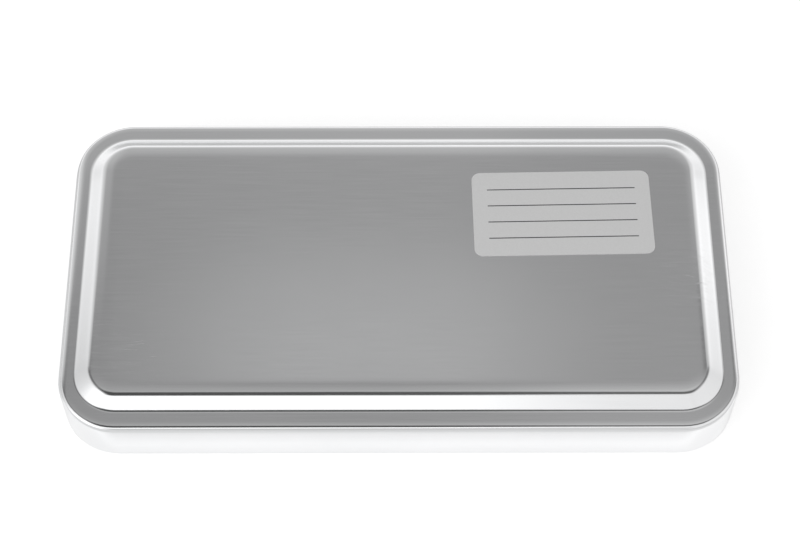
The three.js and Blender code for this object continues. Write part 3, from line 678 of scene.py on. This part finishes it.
HANDLE_FOOT_END, HANDLE_OUTER, HANDLE_TOP, HANDLE_WIDTH = 73.97, 82.97, 20.0, 34.0
HANDLE_CORNER, HANDLE_BEND, FOOT_CORNER = 6.0, 0.8, 2.5
GRIP_LENGTH, GRIP_HEIGHT, GRIP_RAIL = 22.0, 7.0, 3.0
BLANK_LENGTH = 40.0

outer_bend = HANDLE_BEND + SHEET
strip_line = two_faces(walk(CHANNEL_UNDER, [
    ("run", HANDLE_OUTER - HANDLE_FOOT_END - outer_bend, 1),
    ("bend", outer_bend, 90),
    ("run", HANDLE_TOP - CHANNEL_UNDER - outer_bend + SHEET, 1)]), SHEET)
handle = prism("right_lifting_handle", strip_line + (HANDLE_FOOT_END, 0), -HANDLE_WIDTH / 2,
               HANDLE_WIDTH / 2, "Y", handle_steel)
front_view = rounded(HANDLE_WIDTH, 2 * HANDLE_TOP, HANDLE_CORNER)
carve(handle, prism("blank", front_view, HANDLE_FOOT_END - PUNCH_PAST, HANDLE_OUTER + PUNCH_PAST, "X",
                    handle_steel), "INTERSECT")
plan_view = rounded(BLANK_LENGTH, HANDLE_WIDTH, FOOT_CORNER, HANDLE_FOOT_END + BLANK_LENGTH / 2)
carve(handle, prism("foot", plan_view, 0, HANDLE_TOP + PUNCH_PAST, "Z", handle_steel), "INTERSECT")
grip = rounded(GRIP_LENGTH, GRIP_HEIGHT, GRIP_HEIGHT / 2, 0, HANDLE_TOP - GRIP_RAIL - GRIP_HEIGHT / 2)
carve(handle, prism("grip", grip, HANDLE_OUTER - SHEET - PUNCH_PAST, HANDLE_OUTER + PUNCH_PAST, "X",
                    handle_steel), "DIFFERENCE")
drill(handle, RIVET_HOLE, CHANNEL_UNDER, CHANNEL_UNDER + SHEET, "Z",
      [(HANDLE_RIVET_X, y) for y in (-HANDLE_RIVET_Y, HANDLE_RIVET_Y)])
soften(handle, 0.18, 3)
dress(handle, "rack", "brushed_steel", "right_handle")
dress(turned(handle, "left_lifting_handle"), "rack", "brushed_steel", "left_handle")


# Bails
# Spring wire, bent to a flat loop whose ends pass in through the ears. Drawn wire is the brightest
# steel in the box.
wire_steel = steel("bright drawn spring wire", 0xF4F4F5, 0xE8E9EA, 0.12, 0.3, 3, 0.003, "Y")

WIRE, WIRE_BEND, BAIL_REACH, STUB_START = 1.0, 2.0, 20.0, 36.87
ARM_Y = 41.47
WIRE_EDGE = 0.2


def wire_bend(x, y, start):
    """A quarter bend about (x, y): rows are (x, y, heading), and the heading is square to the radius."""
    angle = np.linspace(start, start + 90, 13)
    return np.stack([x + WIRE_BEND * np.cos(np.radians(angle)), y + WIRE_BEND * np.sin(np.radians(angle)),
                     angle + 90], axis=1)


there = np.concatenate([[(0, STUB_START, 90), (0, STUB_START + WIRE_EDGE, 90)],
                        wire_bend(-WIRE_BEND, ARM_Y - WIRE_BEND, 0),
                        wire_bend(-BAIL_REACH + WIRE_BEND, ARM_Y - WIRE_BEND, 90)])
wire_path = np.concatenate([there, (there * (1, -1, -1) + (0, 0, 180))[::-1]])
wire_radius = np.full((len(wire_path), 1), WIRE)
wire_radius[[0, -1]] = WIRE - WIRE_EDGE
round_wire = np.linspace(0, 2 * np.pi, 24, endpoint=False)[None]
heading = np.radians(wire_path[:, 2:])
# A ring of the wire stands square to its heading: out to the side by r cos a, and up by r sin a.
bail = skin("right_wire_bail",
            STATION_X + wire_path[:, :1] + wire_radius * np.cos(round_wire) * np.sin(heading),
            wire_path[:, 1:2] - wire_radius * np.cos(round_wire) * np.cos(heading),
            PIVOT_Z + wire_radius * np.sin(round_wire), wire_steel, ends="caps")
bail.data.set_sharp_from_angle(angle=math.radians(40))
dress(bail, "right_bail", "spring_wire", "right_bail")
dress(turned(bail, "left_wire_bail"), "left_bail", "spring_wire", "left_bail")


# Sleeves
# Silicone tube, cut square and pushed on before the wire's last bend. It turns on the wire and
# presses the instruments into their notches.
SLEEVE_BORE, SLEEVE_RADIUS, SLEEVE_HALF, SLEEVE_EDGE = 1.3, 2.3, 38.67, 0.4

edge = arc(SLEEVE_RADIUS - SLEEVE_EDGE, SLEEVE_HALF - SLEEVE_EDGE, SLEEVE_EDGE, 0, 90, 18)
sleeve_profile = np.concatenate([[(SLEEVE_BORE, -SLEEVE_HALF)], (edge * (1, -1))[::-1], edge,
                                 [(SLEEVE_BORE, SLEEVE_HALF)]])
sleeve = skin("right_silicone_sleeve",
              *turned_form(sleeve_profile, STATION_X - BAIL_REACH, PIVOT_Z, axis="Y"), silicone, ends="ring")
sleeve.data.set_sharp_from_angle(angle=math.radians(50))
dress(sleeve, "right_bail", "silicone", "right_bail_sleeve")
dress(turned(sleeve, "left_silicone_sleeve"), "left_bail", "silicone", "left_bail_sleeve")


# Lid
# A second drawn sheet: a flat panel raised by a sloping step, a ledge, and a skirt that drops over
# the tray. It is satin all over, with hairline scratches where it has been handled.
lid_steel = steel("satin stainless steel lid", 0xF1F1F2, 0xE4E5E6, 0.12, 0.30, 18, 0.003)

# Real hairlines are about 0.02 mm wide, and are drawn at 0.2 mm so that they show. They lie at three
# slants, and are thickest in two scuffed places.
SCRATCH_WIDTH, SCRATCH_LENGTH, SCRATCH_SLANTS = 0.2, 9, (3, -6, 13)
SCUFFED = (((-72, -27, 30), 22), ((84, -6, 27), 20))
SCUFF_SHARE, REST_SHARE = 0.5, 0.05
SCRATCH_DEPTH, SCRATCH_DULLS = 0.012, 0.35

lid_tree = lid_steel.node_tree
lid_shader = lid_tree.nodes["Principled BSDF"]
lid_where = add(lid_tree, "ShaderNodeTexCoord").outputs["Object"]
scuffed = REST_SHARE
for place, reach in SCUFFED:
    away = add(lid_tree, "ShaderNodeVectorMath", {0: lid_where, 1: Vector(place) * MM}, operation="DISTANCE")
    near = add(lid_tree, "ShaderNodeMapRange", {"Value": away.outputs["Value"], 1: reach * MM, 2: 0.0,
                                                4: SCUFF_SHARE})
    denser = add(lid_tree, "ShaderNodeMath", {0: scuffed, 1: near.outputs[0]}, operation="MAXIMUM")
    scuffed = denser.outputs[0]
scratched = 0.0
for slant in SCRATCH_SLANTS:
    laid = add(lid_tree, "ShaderNodeMapping", {"Vector": lid_where, "Rotation": (0, 0, math.radians(slant))})
    drawn_out = add(lid_tree, "ShaderNodeMapping", {"Vector": laid.outputs[0], "Scale": (
        1 / (SCRATCH_LENGTH * MM), 1 / (SCRATCH_WIDTH * MM), 1 / (SCRATCH_LENGTH * MM))})
    hair = add(lid_tree, "ShaderNodeTexNoise", {"Vector": drawn_out.outputs[0], "Scale": 1.0, "Detail": 1.0})
    line = add(lid_tree, "ShaderNodeMapRange", {"Value": hair.outputs[0], 1: 0.65, 2: 0.74})
    crossed = add(lid_tree, "ShaderNodeMath", {0: scratched, 1: line.outputs[0]}, operation="MAXIMUM")
    scratched = crossed.outputs[0]
scratches = add(lid_tree, "ShaderNodeMath", {0: scratched, 1: scuffed}, operation="MULTIPLY").outputs[0]
lid_gloss = lid_shader.inputs["Roughness"].links[0].from_socket
rubbed = add(lid_tree, "ShaderNodeMath", {0: scratches, 1: SCRATCH_DULLS, 2: lid_gloss},
             operation="MULTIPLY_ADD")
lid_tree.links.new(rubbed.outputs[0], lid_shader.inputs["Roughness"])
cut_in = add(lid_tree, "ShaderNodeBump", {"Height": scratches, "Distance": SCRATCH_DEPTH * MM,
                                          "Strength": 0.5,
                                          "Normal": lid_shader.inputs["Normal"].links[0].from_socket},
             invert=True)
lid_tree.links.new(cut_in.outputs[0], lid_shader.inputs["Normal"])

PANEL_RISE, SKIRT_DEPTH, SKIRT_TURN = 3.2, 16.0, 89.5
CROWN, CROWN_TURN, STEP_HEAD, STEP_TURN, STEP_FOOT = 28.0, 6, 3.4, 35, 1.8
LEDGE, LEDGE_FALL, LEDGE_ROLL, LEDGE_ROLL_TURN, LID_EDGE = 3.5, 1.8, 14.0, 6, 1.7
# The press leaves the ledge narrower at the two ends, and the panel's corners rounder than an even
# ledge would give.
CORNER_FOLLOW, END_OUT = 0.86, 0.85
PANEL_RINGS = 30

ledge_run = LEDGE - LEDGE_ROLL * (math.sin(math.radians(LEDGE_ROLL_TURN))
                                  - math.sin(math.radians(LEDGE_FALL)))
ledge_drop = ledge_run * math.sin(math.radians(LEDGE_FALL)) + drop(LEDGE_ROLL, LEDGE_FALL, LEDGE_ROLL_TURN)
lid_line = two_faces(walk(BOX_HEIGHT, [
    ("bend", CROWN, -CROWN_TURN),
    ("bend", STEP_HEAD, CROWN_TURN - STEP_TURN),
    ("run", rise_run(PANEL_RISE - drop(CROWN, 0, CROWN_TURN) - drop(STEP_HEAD, CROWN_TURN, STEP_TURN)
                     - drop(STEP_FOOT, LEDGE_FALL, STEP_TURN) - ledge_drop / 2, STEP_TURN), 4),
    ("bend", STEP_FOOT, STEP_TURN - LEDGE_FALL),
    ("run", ledge_run, 12),
    ("bend", LEDGE_ROLL, LEDGE_FALL - LEDGE_ROLL_TURN),
    ("bend", LID_EDGE, LEDGE_ROLL_TURN - SKIRT_TURN),
    ("run", rise_run(SKIRT_DEPTH - SHEET / 2 - ledge_drop / 2
                     - drop(LID_EDGE, LEDGE_ROLL_TURN, SKIRT_TURN), SKIRT_TURN), 10)]), 0)
lid_x, lid_y, lid_z = close_middle(*carry_round(lid_line, BOX_LENGTH, BOX_WIDTH, PLAN_CORNER,
                                                CORNER_FOLLOW, END_OUT), rings=PANEL_RINGS)


WAVES = ((0.010, 19, 31, 0), (0.006, 9.5, -14, 1.3), (0.005, 40, 7.5, 0.6))


def waves(x, y):
    """Slow waves left in the sheet by the press, in mm: three crossing sines, 46 to 102 mm long. Each
    has a height, the lengths of a radian along x and y, and a phase, and lies wholly below zero."""
    return sum(height * (np.sin(x / along + y / across + phase) - 1)
               for height, along, across, phase in WAVES)


RUB_START, RUB_FALL, RUB_FOOT, RUB_FADE = -91.9, 0.08, 18.0, 4.0


def soft_end(x, z):
    """How far handling has rubbed down the rim of the left end, in mm: the fall grows with the square
    of the distance outwards from RUB_START, and fades away down the skirt, above RUB_FOOT."""
    outwards = np.maximum(RUB_START - x, 0)
    return RUB_FALL * outwards ** 2 * np.clip((z - RUB_FOOT) / RUB_FADE, 0, 1)


upper_face = np.arange(len(lid_z))[:, None] < len(lid_z) // 2
lid_z = lid_z - upper_face * soft_end(lid_x, lid_z)
lid = skin("lid_sheet", lid_x, lid_y, lid_z + waves(lid_x, lid_y), lid_steel)
dress(lid, "lid", "drawn_steel", "lid")


# Label
# A paper label stuck on the panel a little askew, and ruled for notes in pencil, as the labels that
# clinics write on are. Uncoated paper is matt, and in this light its white reads as a light grey.
LABEL_LENGTH, LABEL_WIDTH, LABEL_THICKNESS, LABEL_CORNER = 51.7, 27.9, 0.15, 2.5
LABEL_PLACE, LABEL_TURN = (47.41, 17.11), math.radians(1)
RULE_ROWS, RULE_PITCH, RULE_WIDTH, RULE_LENGTH = 4, 5.4, 0.32, 43.0

label_spot = Vector((*LABEL_PLACE, BOX_HEIGHT)) * MM
label_paper = bpy.data.materials.new("uncoated label paper")
label_paper.use_nodes = True
paper = label_paper.node_tree
paper_shader = paper.nodes["Principled BSDF"]
paper_where = add(paper, "ShaderNodeTexCoord").outputs["Object"]
# The ruling is worked out on the label's own length and width, from its middle.
on_label = add(paper, "ShaderNodeMapping",
               {"Vector": paper_where, "Location": label_spot, "Rotation": (0, 0, LABEL_TURN)},
               vector_type="TEXTURE")
label_axes = add(paper, "ShaderNodeSeparateXYZ", {"Vector": on_label.outputs[0]})
lifted = add(paper, "ShaderNodeMath", {0: label_axes.outputs["Y"], 1: RULE_PITCH / 2 * MM}, operation="ADD")
to_rule = add(paper, "ShaderNodeMath", {0: lifted.outputs[0], 1: RULE_PITCH / 2 * MM}, operation="PINGPONG")
on_rule = add(paper, "ShaderNodeMath", {0: to_rule.outputs[0], 1: RULE_WIDTH / 2 * MM},
              operation="LESS_THAN")
from_middle = add(paper, "ShaderNodeMath", {0: label_axes.outputs["X"]}, operation="ABSOLUTE")
in_length = add(paper, "ShaderNodeMath", {0: from_middle.outputs[0], 1: RULE_LENGTH / 2 * MM},
                operation="LESS_THAN")
from_centre = add(paper, "ShaderNodeMath", {0: label_axes.outputs["Y"]}, operation="ABSOLUTE")
in_rows = add(paper, "ShaderNodeMath", {0: from_centre.outputs[0], 1: RULE_ROWS / 2 * RULE_PITCH * MM},
              operation="LESS_THAN")
ruled = add(paper, "ShaderNodeMath", {0: on_rule.outputs[0], 1: in_length.outputs[0]}, operation="MULTIPLY")
ruled = add(paper, "ShaderNodeMath", {0: ruled.outputs[0], 1: in_rows.outputs[0]}, operation="MULTIPLY")
# Paper fibres are about 0.02 mm wide, and are drawn at 0.4 mm so that they show.
fibres = add(paper, "ShaderNodeTexNoise", {"Vector": paper_where, "Scale": 1 / (0.4 * MM), "Detail": 3.0})
stock = add(paper, "ShaderNodeMix", {0: fibres.outputs[0], 6: linear(0xC8C8C8), 7: linear(0xD2D2D2)},
            data_type="RGBA")
inked = add(paper, "ShaderNodeMix", {0: ruled.outputs[0], 6: stock.outputs[2], 7: linear(0x3A3C3E)},
            data_type="RGBA")
paper.links.new(inked.outputs[2], paper_shader.inputs["Base Color"])
paper_bump = add(paper, "ShaderNodeBump", {"Height": fibres.outputs[0], "Distance": 0.01 * MM,
                                           "Strength": 0.4})
paper.links.new(paper_bump.outputs[0], paper_shader.inputs["Normal"])
paper_shader.inputs["Roughness"].default_value = 0.55
paper_shader.inputs["IOR"].default_value = 1.5

label = prism("write_on_label", rounded(LABEL_LENGTH, LABEL_WIDTH, LABEL_CORNER), 0, LABEL_THICKNESS, "Z",
              label_paper)
label.data.transform(Matrix.Translation(label_spot) @ Matrix.Rotation(LABEL_TURN, 4, "Z"))
soften(label, 0.05)
dress(label, "lid", "label_paper", "lid_label")
